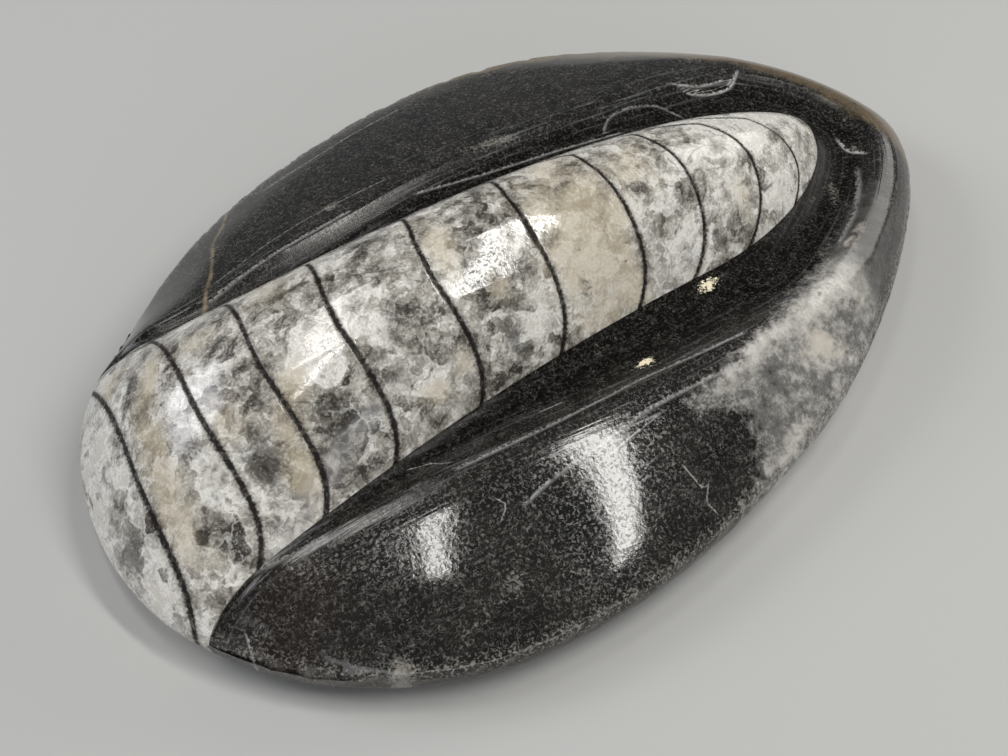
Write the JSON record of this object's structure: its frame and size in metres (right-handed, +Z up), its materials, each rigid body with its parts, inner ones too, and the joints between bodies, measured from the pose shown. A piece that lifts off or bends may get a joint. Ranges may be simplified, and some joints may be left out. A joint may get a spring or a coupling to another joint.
{
  "type": "polished orthoceras fossil",
  "caption": "Leaf-shaped freeform of black fossil limestone with a straight chambered calcite shell in raised relief, lying on its flat base.",
  "frame": {"origin": "centre of the bounding box, at the level of the flat base", "axes": "+X along the shell from its wide end to its apex, +Z up from the flat base"},
  "size_m": [0.098, 0.069, 0.0236],
  "materials": {
    "black_limestone": "polished, near black, flecked with fine grey and white shell debris",
    "grey_calcite": "polished, mottled white, grey and cream calcite crossed by thin dark brown septa"
  },
  "bodies": {
    "root": {"limestone_matrix": "black_limestone", "orthoceras_shell": "grey_calcite"}
  },
  "joints": []
}
